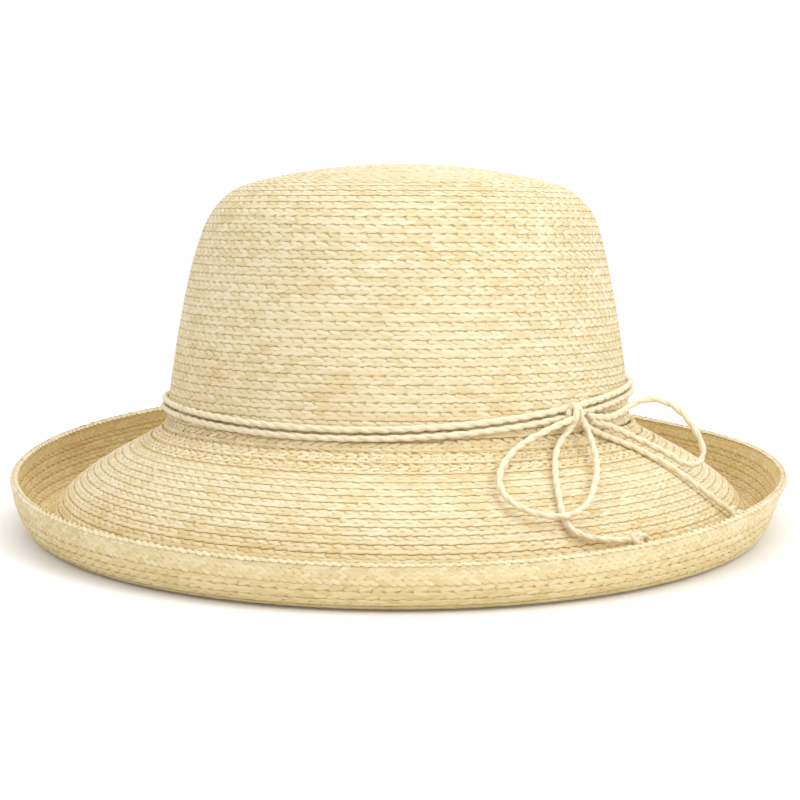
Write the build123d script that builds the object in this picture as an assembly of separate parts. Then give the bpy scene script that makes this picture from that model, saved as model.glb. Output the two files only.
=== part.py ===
from build123d import *
import math
import os

# A straw sun hat: a rounded crown and an upturned brim, both sewn from one long flat
# straw plait, with a sweatband inside and a thin twisted cord tied in a bow outside.
# Millimetres, +Z up. The hat stands on its brim at Z = 0, its front faces -Y, and the
# origin is the middle of the oval that it stands on.

# ---------------------------------------------------------------- driving dimensions
HEAD_HALF_WIDTH = 89.2        # outside of the crown at the headline, across the ears
OVAL = 1.12                   # a head is this much longer than it is wide
HEADLINE_HEIGHT = 39.0        # the crown meets the brim this far above the table
CROWN_HEIGHT = 97.0           # from the headline to the top of the crown
LEAN = 4.0                    # degrees that the crown leans back over the brim
WALL = 2.2                    # two overlapping thicknesses of plait

SIDE_TOP = (76.2, 71.5)       # half width and height where the side turns into the shoulder
SIDE_BOW = 0.45               # share of the side's taper that comes in its upper half
TIP_EDGE = (57.5, 89.9)       # where the shoulder turns into the flat tip
COIL_RADIUS = 8.0             # the first tight turns of the plait, at the top
COIL_RISE = 0.6               # how far that coil stands proud

SLOPE = [(89.2, 39.0), (91.6, 35.9), (97.0, 32.6), (108.0, 26.8), (118.0, 20.6),
         (126.5, 14.0), (132.0, 7.6), (135.7, 2.2)]          # upper face, headline to gutter
SLOPE_UNDER = (-2.2, -1.2)    # the lower face is the upper one moved by this
ROLL = [(138.0, 0.0), (142.9, 2.2), (147.2, 7.2), (149.0, 13.5), (149.2, 19.0),
        (149.0, 30.0)]                                       # outer face of the upturned edge
ROLL_INSIDE = (-2.0, 2.2)     # the inner face is the outer one moved by this
GUTTER_START = 131.5          # inner edge of the flat round that the hat stands on
RIM_HEIGHT = 22.0             # the upturned edge at the two sides
RIM_TILT = -1.4               # degrees: the rim stands higher at the back
EDGE_DEPTH = 6.0              # how far the folded edge plait reaches down the roll
EDGE_THICKNESS = 0.9

BAND_HEIGHT = 32.0            # sweatband
BAND_THICKNESS = 0.9
BAND_GAP = 0.4                # from the crown's inner face to the sweatband
BAND_START = 0.8              # height of the band's lower edge above the headline
JOIN_ANGLE = 90.0             # the band's ends overlap at the back
JOIN_WIDTH = 12.0
JOIN_MARGIN = 0.7             # the join is this much lower than the band at each edge
STITCH_COUNT = 60
STITCH_SIZE = (3.2, 0.5, 0.6)
STITCH_HEIGHT = 4.0
STITCH_GAP = 0.5              # a stitch stands this far inside the band's face
LABEL_SIZE = (22.0, 14.0)     # a blank size label: width along the band and height
LABEL_ANGLE = 112.0
LABEL_DROP = 4.0              # from the band's upper edge to the label's

CORD = 2.4                    # diameter of the twisted trim cord
CORD_GAP = 0.6                # between the cord and the straw beneath it
WRAP_SPAN = 3.0               # from one turn of the cord to the other, centre to centre
WRAP_POINTS = 30
WRAP_END_GAP = 2.0            # degrees between the two ends of a turn, inside the knot
KNOT_ANGLE = -48.0            # the bow sits right of the front, seen from the front
KNOT_SIZE = (9.0, 7.0, 9.0)   # along the crown, out from it, and up
KNOT_STAND_OFF = 4.4          # from the crown's face to the middle of the knot
TACK_ANGLES = (-150, 150, 90, 20)
TACK_SIZE = (0.8, 0.5, 6.0)

# Routes of the bow's free cords, from the knot outwards.
LOOP_FRONT = [(60.8, -78.4, 50.8), (55.0, -84.4, 49.5), (49.0, -88.9, 47.4), (42.4, -93.8, 44.8),
              (37.0, -101.0, 41.6), (33.7, -109.6, 37.8), (33.2, -116.4, 34.2),
              (35.5, -121.2, 30.6), (40.6, -124.0, 27.6), (46.6, -124.3, 25.6),
              (52.8, -122.7, 24.6), (58.6, -119.3, 25.0), (62.9, -113.7, 26.6),
              (65.6, -106.6, 29.4), (67.6, -97.5, 33.3), (68.6, -87.3, 37.6),
              (67.6, -79.3, 42.2), (66.0, -76.4, 46.8), (64.0, -76.2, 50.8)]
LOOP_SIDE = [(66.8, -72.6, 50.9), (71.4, -66.8, 49.2), (76.6, -57.8, 48.2), (81.6, -47.5, 49.0),
             (86.2, -41.5, 51.0), (91.8, -39.6, 52.2), (97.8, -39.4, 51.2),
             (103.2, -39.8, 47.6), (107.6, -40.6, 42.4), (110.8, -42.0, 36.8),
             (111.8, -43.6, 31.8), (108.9, -46.8, 28.6), (103.4, -50.3, 29.6),
             (97.9, -51.4, 33.4), (89.9, -51.8, 37.6), (81.0, -54.6, 42.0),
             (73.8, -62.4, 46.4), (67.6, -70.8, 48.8)]
TAIL_FRONT = [(61.0, -77.9, 48.6), (57.8, -81.0, 46.0), (54.8, -86.0, 42.4), (53.4, -94.0, 38.6),
              (53.1, -103.0, 34.6), (53.6, -110.6, 30.2), (54.2, -116.2, 25.8),
              (55.4, -120.9, 21.9), (59.7, -122.8, 18.6), (65.4, -121.6, 16.9),
              (72.4, -118.2, 15.6), (78.2, -114.2, 15.0)]
TAIL_SIDE = [(65.2, -73.2, 47.6), (70.6, -66.0, 43.8), (77.2, -58.9, 40.3), (84.2, -56.0, 37.0),
             (91.4, -55.8, 33.4), (97.6, -56.9, 30.2), (102.4, -58.6, 27.0),
             (107.0, -59.8, 23.6), (111.4, -60.4, 20.2), (115.7, -59.9, 16.7),
             (119.9, -58.0, 13.6)]
TAIL_KNOT_SIZE = (5.2, 4.2, 4.2)
TAIL_FRONT_END = (80.6, -112.4, 14.8)
TAIL_SIDE_END = (122.3, -56.4, 12.0)


# ---------------------------------------------------------------- shared shapes
def oval(half_width, height, tilt=0.0):
    """An oval across the brim, deeper than wide by the same length at every size."""
    extra = HEAD_HALF_WIDTH * (OVAL - 1.0)
    plane = Plane(origin=(0, 0, height)).rotated((tilt, 0, 0))
    return plane * Ellipse(half_width, half_width + extra)


def through_ovals(stations, ruled=False):
    """A closed body through a stack of (half width, height, tilt) ovals."""
    return loft([oval(*station) for station in stations], ruled=ruled)


def side_half_width(height):
    """Half width of the crown's outer face at a height above the headline."""
    fraction = height / SIDE_TOP[1]
    taper = (1 - SIDE_BOW) * fraction + SIDE_BOW * fraction ** 2
    return HEAD_HALF_WIDTH + (SIDE_TOP[0] - HEAD_HALF_WIDTH) * taper


def crown_body(inset, low, high):
    """The inside of the crown between two heights, smaller all round by an inset."""
    sections = []
    for i in range(5):
        height = low + (high - low) * i / 4
        half_width = side_half_width(height) - inset
        sections.append(Pos(0, 0, height) * Ellipse(half_width, OVAL * half_width))
    return loft(sections)


def crown_shell(inset, thickness, low, high):
    """A wall of the crown's side, or a band that follows it inside."""
    return crown_body(inset, low, high) - crown_body(inset + thickness, low, high)


def lean_back(shape):
    """Stand a crown piece on the headline, leaning back."""
    return Location((0, 0, HEADLINE_HEIGHT)) * Rotation(-LEAN, 0, 0) * shape


# ---------------------------------------------------------------- crown
def top_arc(start_x):
    """The nearly flat tip: an arc centred on the crown's axis, from start_x to the axis."""
    drop = CROWN_HEIGHT - TIP_EDGE[1]
    radius = (TIP_EDGE[0] ** 2 + drop ** 2) / (2 * drop)
    centre = CROWN_HEIGHT - radius
    points = []
    for x in (start_x, start_x / 2, 0.0):
        points.append((x, centre + math.sqrt(radius ** 2 - x ** 2)))
    return ThreePointArc(*points)


def make_crown_side():
    return lean_back(crown_shell(0, WALL, 0, SIDE_TOP[1]))


def make_crown_tip():
    slope = (1 + SIDE_BOW) * (SIDE_TOP[0] - HEAD_HALF_WIDTH) / SIDE_TOP[1]
    shoulder = TangentArc(SIDE_TOP, TIP_EDGE, tangent=(slope, 1))
    curve = Wire([shoulder.edge(), top_arc(TIP_EDGE[0]).edge()])
    wall = make_face(offset(curve, WALL, side=Side.LEFT, closed=True))
    tip = revolve(Plane.XZ * wall, Axis.Z)
    tip = tip & (Pos(0, 0, SIDE_TOP[1] + CROWN_HEIGHT / 2) * Box(400, 400, CROWN_HEIGHT))
    hole = Pos(0, 0, CROWN_HEIGHT) * Cylinder(COIL_RADIUS, 3 * WALL)
    return lean_back(scale(tip - hole, by=(1, OVAL, 1)))


def make_crown_coil():
    height = WALL + COIL_RISE
    disc = Pos(0, 0, CROWN_HEIGHT + COIL_RISE - height / 2 - 0.1) * Cylinder(COIL_RADIUS, height)
    rounded = fillet(disc.edges().group_by(Axis.Z)[-1], COIL_RISE / 2)
    return lean_back(scale(rounded, by=(1, OVAL, 1)))


# ---------------------------------------------------------------- brim
def slope_tilt(index):
    """The lean of the headline fades out evenly down to the gutter."""
    return -LEAN * (1 - index / (len(SLOPE) - 1))


def make_brim_slope():
    upper = [(a, z, slope_tilt(i)) for i, (a, z) in enumerate(SLOPE)]
    lower = [(a + SLOPE_UNDER[0], z + SLOPE_UNDER[1], tilt) for a, z, tilt in upper]
    top = lower[0]
    opening = [(top[0], top[1] - 0.01, top[2]), (top[0], top[1] + 2 * WALL, top[2])]
    shell = through_ovals(upper[::-1]) - through_ovals(lower[::-1])
    return shell - through_ovals(opening, ruled=True)


def roll_tilt(height):
    """The rim's tilt grows evenly from the table up."""
    return RIM_TILT * height / RIM_HEIGHT


def below_rim(extra):
    """A block whose top is the rim's tilted plane, raised by extra."""
    size = 4 * HEAD_HALF_WIDTH
    plane = Plane(origin=(0, 0, RIM_HEIGHT + extra)).rotated((-RIM_TILT, 0, 0))
    return plane * (Pos(0, 0, -size / 2) * Box(size, size, size))


def make_brim_roll():
    outer = [(a, z, -roll_tilt(z)) for a, z in ROLL]
    inner = [(a + ROLL_INSIDE[0], z + ROLL_INSIDE[1], tilt) for a, z, tilt in outer]
    middle = [(GUTTER_START, -WALL, 0), (GUTTER_START, 2 * WALL, 0)]
    bowl = through_ovals(outer) - through_ovals(inner)
    return (bowl - through_ovals(middle, ruled=True)) & below_rim(0)


def make_edge_plait():
    outside = ROLL[-2][0] + 0.2
    inside = ROLL[-2][0] + ROLL_INSIDE[0] - 0.4

    def ring(outer, inner, low, high):
        span = []
        for half_width in (outer, inner):
            ends = [(half_width, RIM_HEIGHT + level, -RIM_TILT) for level in (low, high)]
            span.append(through_ovals(ends, ruled=True))
        return span[0] - span[1]

    fold = ring(outside + EDGE_THICKNESS, inside - EDGE_THICKNESS, -EDGE_DEPTH, EDGE_THICKNESS)
    groove = ring(outside, inside, -EDGE_DEPTH - 1, 0)
    return fold - groove


# ---------------------------------------------------------------- sweatband
def make_sweatband():
    return lean_back(crown_shell(WALL + BAND_GAP, BAND_THICKNESS, BAND_START, BAND_HEIGHT))


def band_patch(low, high, width, angle):
    """A strip of band, width long, laid on the sweatband's inner face at an angle."""
    ring = crown_shell(WALL + BAND_GAP + BAND_THICKNESS, BAND_THICKNESS, low, high)
    window = Rotation(0, 0, angle) * (Pos(HEAD_HALF_WIDTH, 0, 0) * Box(60, width, 200))
    return lean_back(ring & window)


def make_sweatband_join():
    low = BAND_START + JOIN_MARGIN
    return band_patch(low, BAND_HEIGHT - JOIN_MARGIN, JOIN_WIDTH, JOIN_ANGLE)


def make_size_label():
    top = BAND_HEIGHT - LABEL_DROP
    return band_patch(top - LABEL_SIZE[1], top, LABEL_SIZE[0], LABEL_ANGLE)


def make_sweatband_stitches():
    band_face = HEAD_HALF_WIDTH - WALL - BAND_GAP - BAND_THICKNESS
    reach = band_face - STITCH_SIZE[1] / 2 - STITCH_GAP
    under_join = 0.8 * JOIN_WIDTH / HEAD_HALF_WIDTH
    stitches = []
    for i in range(STITCH_COUNT):
        angle = 2 * math.pi * (i + 0.5) / STITCH_COUNT
        x = reach * math.cos(angle)
        y = OVAL * reach * math.sin(angle)
        turn = math.degrees(math.atan2(OVAL * math.cos(angle), -math.sin(angle)))
        if abs(angle - math.radians(JOIN_ANGLE)) < under_join:
            continue                      # the join covers the seam here
        place = (x, y, STITCH_HEIGHT)
        stitches.append(Location(place, (0, 0, turn)) * Box(*STITCH_SIZE))
    return lean_back(Compound(children=stitches))


# ---------------------------------------------------------------- trim cord and bow
def cord_tube(points, name):
    """Straight runs joined by tangent arcs, each arc as large as its runs allow."""
    corners = [Vector(*p) for p in points]
    radii = []
    for before, corner, after in zip(corners, corners[1:], corners[2:]):
        shorter = min((corner - before).length, (after - corner).length)
        turn = (corner - before).get_angle(after - corner)
        radii.append(0.45 * shorter / math.tan(math.radians(turn / 2)))
    path = FilletPolyline(*corners, radius=radii)
    section = Plane(path @ 0, z_dir=path % 0) * Circle(CORD / 2)
    tube = sweep(section, path=path)
    expected = math.pi * (CORD / 2) ** 2 * path.length
    print(f"{name}: length {path.length:.1f} mm, tightest arc {min(radii):.1f} mm, "
          f"volume / (section x length) {tube.volume / expected:.4f}")
    return tube


def wrap_height(angle):
    """Height of the upper turn above the headline: it rides up towards the right."""
    return 4.4 + 3.0 * math.cos(angle) + 7.0 * math.cos(angle) ** 2


def wrap_route(lower_by):
    """One turn round the crown, from the knot all the way round to the knot."""
    corner_factor = 1 / math.cos(math.pi / WRAP_POINTS)
    start = math.radians(KNOT_ANGLE - WRAP_END_GAP / 2)
    step = math.radians(360 - WRAP_END_GAP) / WRAP_POINTS
    points = []
    for i in range(WRAP_POINTS + 1):
        angle = start - step * i
        height = wrap_height(angle) - lower_by
        reach = (side_half_width(height) + CORD_GAP + CORD / 2) * corner_factor
        points.append((reach * math.cos(angle), OVAL * reach * math.sin(angle), height))
    return points


def make_wrap(lower_by, name):
    leaned = []
    for point in wrap_route(lower_by):
        placed = Vector(*point).rotate(Axis.X, -LEAN) + Vector(0, 0, HEADLINE_HEIGHT)
        leaned.append(tuple(placed))
    return cord_tube(leaned, name)


def ball(size, centre, turn=(0, 0, 0)):
    """An egg-shaped knot."""
    egg = scale(Sphere(0.5), by=size)
    return Location(centre, turn) * egg


def knot_centre():
    angle = math.radians(KNOT_ANGLE)
    height = wrap_height(angle) - WRAP_SPAN / 2
    reach = side_half_width(height) + KNOT_STAND_OFF
    point = Vector(reach * math.cos(angle), OVAL * reach * math.sin(angle), height)
    return point.rotate(Axis.X, -LEAN) + Vector(0, 0, HEADLINE_HEIGHT)


def make_bow_knot():
    return ball(KNOT_SIZE, tuple(knot_centre()), (0, 0, KNOT_ANGLE + 90))


def make_trim_tacks():
    """Small thread loops that hold both turns of the cord to the crown."""
    tacks = []
    for degrees in TACK_ANGLES:
        angle = math.radians(degrees)
        height = wrap_height(angle) - WRAP_SPAN / 2
        reach = side_half_width(height) + CORD_GAP + CORD + 0.4
        place = (reach * math.cos(angle), OVAL * reach * math.sin(angle), height)
        turn = math.degrees(math.atan2(OVAL * math.cos(angle), -math.sin(angle)))
        tacks.append(Location(place, (0, 0, turn)) * Box(*TACK_SIZE))
    return lean_back(Compound(children=tacks))


# ---------------------------------------------------------------- export
def main():
    knot = make_bow_knot()
    tail_front_knot = ball(TAIL_KNOT_SIZE, TAIL_FRONT_END, (0, 0, 35))
    tail_side_knot = ball(TAIL_KNOT_SIZE, TAIL_SIDE_END, (0, 30, 40))
    nodes = {
        "crown_coil": make_crown_coil(),
        "crown_tip": make_crown_tip(),
        "crown_side": make_crown_side(),
        "brim_slope": make_brim_slope(),
        "brim_roll": make_brim_roll(),
        "edge_plait": make_edge_plait(),
        "sweatband": make_sweatband(),
        "sweatband_join": make_sweatband_join(),
        "sweatband_stitches": make_sweatband_stitches(),
        "size_label": make_size_label(),
        "trim_wrap_upper": make_wrap(0.0, "trim_wrap_upper") - knot,
        "trim_wrap_lower": make_wrap(WRAP_SPAN, "trim_wrap_lower") - knot,
        "trim_tacks": make_trim_tacks(),
        "bow_knot": knot,
        "bow_loop_front": cord_tube(LOOP_FRONT, "bow_loop_front") - knot,
        "bow_loop_side": cord_tube(LOOP_SIDE, "bow_loop_side") - knot,
        "tail_front": cord_tube(TAIL_FRONT, "tail_front") - knot - tail_front_knot,
        "tail_front_knot": tail_front_knot,
        "tail_side": cord_tube(TAIL_SIDE, "tail_side") - knot - tail_side_knot,
        "tail_side_knot": tail_side_knot,
    }
    os.makedirs("parts", exist_ok=True)
    for name, shape in nodes.items():
        export_step(shape, f"parts/{name}.step")


main()
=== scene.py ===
import bisect
import math
import random

import bpy
from bpy.props import FloatProperty, IntProperty, PointerProperty, StringProperty
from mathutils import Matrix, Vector


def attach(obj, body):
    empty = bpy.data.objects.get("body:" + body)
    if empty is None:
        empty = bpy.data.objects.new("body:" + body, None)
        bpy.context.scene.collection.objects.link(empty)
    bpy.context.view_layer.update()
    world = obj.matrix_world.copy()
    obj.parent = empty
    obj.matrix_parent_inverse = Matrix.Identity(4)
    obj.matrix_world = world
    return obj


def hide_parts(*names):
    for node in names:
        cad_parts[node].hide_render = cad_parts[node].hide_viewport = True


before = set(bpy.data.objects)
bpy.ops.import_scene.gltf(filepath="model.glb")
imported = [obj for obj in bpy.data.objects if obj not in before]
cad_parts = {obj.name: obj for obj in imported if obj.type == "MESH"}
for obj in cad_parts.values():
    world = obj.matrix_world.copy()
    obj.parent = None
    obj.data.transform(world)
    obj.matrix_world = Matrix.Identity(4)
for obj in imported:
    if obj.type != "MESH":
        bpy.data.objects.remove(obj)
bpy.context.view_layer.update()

bl_info = {
    "name": "Plaited straw sun hat",
    "version": (1, 0, 0),
    "blender": (4, 5, 0),
    "location": "View3D > Sidebar > Straw hat",
    "description": "Builds a sun hat of sewn straw plait with a cord bow",
    "category": "Add Mesh",
}

MM = 0.001
BODY = "root"

# ---------------------------------------------------------------- the hat's own sizes, in mm
HEAD_HALF_WIDTH = 89.2        # outside of the crown at the headline
OVAL = 1.12                   # the head is this much longer than it is wide
HEADLINE_HEIGHT = 39.0
CROWN_HEIGHT = 97.0
LEAN = 4.0                    # degrees that the crown leans back
WALL = 1.7                    # the wall under the raised strands
SIDE_TOP = (76.2, 71.5)
SIDE_BOW = 0.45
TIP_EDGE = (57.5, 89.9)
COIL_RADIUS = 8.0
TIP_STEPS = 60                # how finely the crown's outline is drawn
SHOULDER_STEPS = 40
SIDE_STEPS = 80
BASE_TUCK = (1.3, 68.0)       # the wearer's left side is in by this at the base, up to this height
SHOULDER_TUCK = (1.3, 80.0, 13.0)   # the other side is in by this, at this height and spread
# Upper face of the brim from the headline to the rim: half width, how much deeper than wide,
# height, and tilt in degrees.
BRIM_LINE = [(89.2, 10.7, 39.0, -4.0), (91.6, 10.7, 35.9, -3.7), (97.0, 10.7, 32.6, -3.3),
             (108.0, 10.7, 26.8, -2.6), (118.0, 10.7, 20.6, -1.8), (126.5, 10.7, 14.0, -1.0),
             (131.6, 10.8, 7.9, -0.4), (134.6, 11.8, 4.1, 0.0), (137.4, 13.4, 2.6, 0.1),
             (140.6, 14.6, 4.2, 0.3), (143.6, 14.2, 9.0, 0.7), (145.3, 12.6, 15.0, 1.3),
             (146.5, 10.9, 23.4, 2.3)]
GUTTER_STATION = 7            # where the slope ends and the upturned edge begins
BRIM_STEPS = 16               # points from one of those ovals to the next
RIM_INSET = 2.6               # the wall ends this far below the rim, inside the folded edge
FLATTER_ROLL = 3.0            # the wearer's left side of the upturned edge is in by this
RIM_WAVE = [(42.0, 30.0, -4.5), (-30.0, 22.0, 2.0)]   # angle, spread and rise of the rim
WIDE_ROUNDS = 3               # rounds just below the headline that lie further apart
WIDE_PITCH = 5.4

# The bow's free cords, from the knot outwards.
LOOP_FRONT = [(60.8, -78.4, 50.8), (55.0, -84.4, 49.5), (49.0, -88.9, 47.4), (42.4, -93.8, 44.8),
              (37.0, -101.0, 41.6), (33.7, -109.6, 37.8), (33.2, -116.4, 34.2),
              (35.5, -121.2, 30.6), (40.6, -124.0, 27.6), (46.6, -124.3, 25.6),
              (52.8, -122.7, 24.6), (58.6, -119.3, 25.0), (62.9, -113.7, 26.6),
              (65.6, -106.6, 29.4), (67.6, -97.5, 33.3), (68.6, -87.3, 37.6),
              (67.6, -79.3, 42.2), (66.0, -76.4, 46.8), (64.0, -76.2, 50.8)]
LOOP_SIDE = [(66.8, -72.6, 50.9), (71.4, -66.8, 49.2), (76.6, -57.8, 48.2), (81.6, -47.5, 49.0),
             (86.2, -41.5, 51.0), (91.8, -39.6, 52.2), (97.8, -39.4, 51.2),
             (103.2, -39.8, 47.6), (107.6, -40.6, 42.4), (110.8, -42.0, 36.8),
             (111.8, -43.6, 31.8), (108.9, -46.8, 28.6), (103.4, -50.3, 29.6),
             (97.9, -51.4, 33.4), (89.9, -51.8, 37.6), (81.0, -54.6, 42.0),
             (73.8, -62.4, 46.4), (67.6, -70.8, 48.8)]
TAIL_FRONT = [(61.0, -77.9, 48.6), (57.8, -81.0, 46.0), (54.8, -86.0, 42.4), (53.4, -94.0, 38.6),
              (53.1, -103.0, 34.6), (53.6, -110.6, 30.2), (54.2, -116.2, 25.8),
              (55.4, -120.9, 21.9), (59.7, -122.8, 18.6), (65.4, -121.6, 16.9),
              (72.4, -118.2, 15.6), (78.2, -114.2, 15.0)]
TAIL_SIDE = [(65.2, -73.2, 47.6), (70.6, -66.0, 43.8), (77.2, -58.9, 40.3), (84.2, -56.0, 37.0),
             (91.4, -55.8, 33.4), (97.6, -56.9, 30.2), (102.4, -58.6, 27.0),
             (107.0, -59.8, 23.6), (111.4, -60.4, 20.2), (115.7, -59.9, 16.7),
             (119.9, -58.0, 13.6)]

# The end knot of each tail: its piece, its middle in mm, its direction, and how far and in
# what direction the frayed end reaches, in metres.
TAIL_ENDS = {
    "tail_front": ("tied_end_front", (80.6, -112.4, 14.8), (0.75, 0.62, -0.1),
                   (-0.0008, -0.0028, -0.0012)),
    "tail_side": ("tied_end_side", (122.3, -56.4, 12.0), (0.75, 0.3, -0.5),
                  (0.0025, 0.0008, -0.0012)),
}
TAIL_KNOT_SIZE = 0.0056       # metres
FIBRES = 7                    # at the frayed end of a tail

# The cord round the crown, in mm above the headline and out from the straw.
KNOT_ANGLE = math.radians(-48.0)
WRAP_FRONT = 4.4              # height at the front and the back
WRAP_LEAN = 3.0               # higher at the wearer's left, and lower at the right, by this
WRAP_SIDES = 7.0              # higher at both sides by this
WRAP_CLEARANCE = 0.45
KNOT_DROP = 2.4               # the knot's middle is this far below the upper turn
KNOT_STAND_OFF = 3.6
KNOT_THICKER = 1.05           # its cord, as a share of the cord elsewhere
KNOT_TURNS = ((-1.25, 0.22, 2.7, 3.3), (1.25, -0.12, 2.6, 3.1))   # shift, tilt, half out and up
KNOT_HEART = (2.4, 1.3)       # half along and up
TACK_ANGLES = (-150, 150, 90, 20)     # degrees
TACK_REACH = 3.3
TACK_RADIUS = 0.00016         # metres

# The sweatband, in mm.
BAND_INSET = WALL + 1.3       # from the crown's outer face
SEAM_INSET = 0.75             # from the ribbon's face
SEAM_HEIGHT = 3.6             # above the headline
JOIN_HALF_WIDTH = 6.0
TAG_HALF_WIDTH = 11.0
TAG_ANGLE = math.radians(112.0)

# The studio, in metres and watts: name, place, size and power of each lamp.
TABLE_HALF = 1.2
LAMPS = (("softbox_left", (-1.1, -1.3, 1.5), 1.4, 11.0),
         ("softbox_right", (1.3, -1.0, 1.2), 1.4, 18.0),
         ("softbox_top", (0.0, 0.2, 1.9), 1.6, 16.0))
LAMP_AIM = Vector((0, 0, 0.05))
CAMERA_AIM = Vector((0, 0, 0.0379))
CAMERA_RAISE = math.radians(0.51)     # looks this much above the aim, so the hat sits lower
ROOM_LIGHT = 0.65
ROOM_LEAN = 0.12              # how much brighter it is to the right
WALL_LIGHT = 0.60             # how much brighter it is straight behind
WALL_SHARPNESS = 4.0


# ---------------------------------------------------------------- outlines and surfaces
class Outline:
    """A chain of ovals, each (half width, half depth, height, tilt), by distance along it."""

    def __init__(self, ovals):
        self.ovals = ovals
        self.runs = [0.0]
        for before, after in zip(ovals, ovals[1:]):
            step = math.hypot(after[0] - before[0], after[2] - before[2])
            self.runs.append(self.runs[-1] + step)
        self.length = self.runs[-1]

    def at(self, run):
        """The oval at a distance along the outline."""
        last = len(self.runs) - 2
        i = min(max(bisect.bisect_right(self.runs, run) - 1, 0), last)
        share = (run - self.runs[i]) / max(self.runs[i + 1] - self.runs[i], 1e-9)
        before, after = self.ovals[i], self.ovals[i + 1]
        return [a + (b - a) * share for a, b in zip(before, after)]


def side_half_width(height):
    """Half width of the crown's side at a height above the headline."""
    share = height / SIDE_TOP[1]
    taper = (1 - SIDE_BOW) * share + SIDE_BOW * share ** 2
    return HEAD_HALF_WIDTH + (SIDE_TOP[0] - HEAD_HALF_WIDTH) * taper


def crown_outline():
    """From the middle of the tip, over the shoulder and down the side to the headline."""
    line = []
    drop = CROWN_HEIGHT - TIP_EDGE[1]
    tip_radius = (TIP_EDGE[0] ** 2 + drop ** 2) / (2 * drop)
    for i in range(TIP_STEPS):
        x = TIP_EDGE[0] * i / TIP_STEPS
        line.append((x, CROWN_HEIGHT - tip_radius + math.sqrt(tip_radius ** 2 - x ** 2)))
    side = Vector(SIDE_TOP)
    slope = (1 + SIDE_BOW) * (SIDE_TOP[0] - HEAD_HALF_WIDTH) / SIDE_TOP[1]
    inward = Vector((-1, slope)).normalized()
    reach = Vector(TIP_EDGE) - side
    radius = reach.length_squared / (2 * reach.dot(inward))
    centre = side + inward * radius
    start = math.atan2(TIP_EDGE[1] - centre.y, TIP_EDGE[0] - centre.x)
    end = math.atan2(side.y - centre.y, side.x - centre.x)
    for i in range(SHOULDER_STEPS):
        turn = start + (end - start) * i / SHOULDER_STEPS
        line.append((centre.x + radius * math.cos(turn), centre.y + radius * math.sin(turn)))
    for i in range(SIDE_STEPS + 1):
        height = SIDE_TOP[1] * (1 - i / SIDE_STEPS)
        line.append((side_half_width(height), height))
    return Outline([(a, a * OVAL, u, 0.0) for a, u in line])


def smooth_through(points, steps):
    """A Catmull-Rom curve through points of any size."""
    padded = [points[0], *points, points[-1]]
    line = []
    for p0, p1, p2, p3 in zip(padded, padded[1:], padded[2:], padded[3:]):
        for i in range(steps):
            t = i / steps
            weights = (-t ** 3 + 2 * t ** 2 - t, 3 * t ** 3 - 5 * t ** 2 + 2,
                       -3 * t ** 3 + 4 * t ** 2 + t, t ** 3 - t ** 2)
            line.append([sum(w * p[k] for w, p in zip(weights, (p0, p1, p2, p3))) / 2
                         for k in range(len(p1))])
    line.append(list(points[-1]))
    return line


def brim_outline():
    """The brim's upper face, from the headline down the slope and up to the rim."""
    line = smooth_through(BRIM_LINE, BRIM_STEPS)
    return Outline([(a, a + deeper, z, tilt) for a, deeper, z, tilt in line])


CROWN = crown_outline()
BRIM = brim_outline()
TIP_END = CROWN.runs[TIP_STEPS + SHOULDER_STEPS]    # where the shoulder meets the side
GUTTER_RUN = BRIM.runs[GUTTER_STATION * BRIM_STEPS]
RIM_RUN = BRIM.length - RIM_INSET


def crown_surface(run, angle):
    """A point on the crown's outer face, in metres."""
    half_width, half_depth, height, _ = CROWN.at(run)
    x = half_width * math.cos(angle)
    y = half_depth * math.sin(angle)
    if x > 0:                                       # the crown isn't quite even
        tuck, fade = BASE_TUCK
        x -= tuck * math.cos(angle) ** 2 * max(0.0, 1 - height / fade)
    else:
        tuck, middle, spread = SHOULDER_TUCK
        x += tuck * math.cos(angle) ** 2 * math.exp(-((height - middle) / spread) ** 2)
    lean = math.radians(-LEAN)
    back = y * math.cos(lean) - height * math.sin(lean)
    up = y * math.sin(lean) + height * math.cos(lean)
    return Vector((x, back, HEADLINE_HEIGHT + up)) * MM


def rim_wave(angle):
    """How much the rim stands higher or lower than an even one, in mm."""
    rise = 0.0
    for middle, spread, height in RIM_WAVE:
        away = (math.degrees(angle) - middle + 180) % 360 - 180
        rise += height * math.exp(-(away / spread) ** 2)
    return rise


def brim_surface(run, angle):
    """A point on the brim's upper face, in metres."""
    half_width, half_depth, height, tilt = BRIM.at(run)
    y = half_depth * math.sin(angle)
    up = max(0.0, run - GUTTER_RUN) / (BRIM.length - GUTTER_RUN)
    z = height + y * math.sin(math.radians(tilt)) + rim_wave(angle) * up ** 1.5
    x = half_width * math.cos(angle)
    if x > 0:
        x -= FLATTER_ROLL * math.cos(angle) ** 2 * math.sin(math.pi * up)
    return Vector((x, y * math.cos(math.radians(tilt)), z)) * MM


def outward(surface, run, angle):
    """The direction that a surface's outer or upper face looks in."""
    along = surface(run + 0.2, angle) - surface(run - 0.2, angle)
    around = surface(run, angle + 0.01) - surface(run, angle - 0.01)
    return along.cross(around).normalized()


EDGE_INSIDE = 4.2             # the folded edge plait: its reach inside and outside the rim
EDGE_OUTSIDE = 5.6
EDGE_ROWS = 9
EDGE_BEND = 1.15              # half the folded edge's width
EDGE_STEPS = 14
EDGE_WALL = 0.6
EDGE_SLANT = 0.34             # radians
EDGE_LENGTH = EDGE_INSIDE + math.pi * EDGE_BEND + EDGE_OUTSIDE


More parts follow.
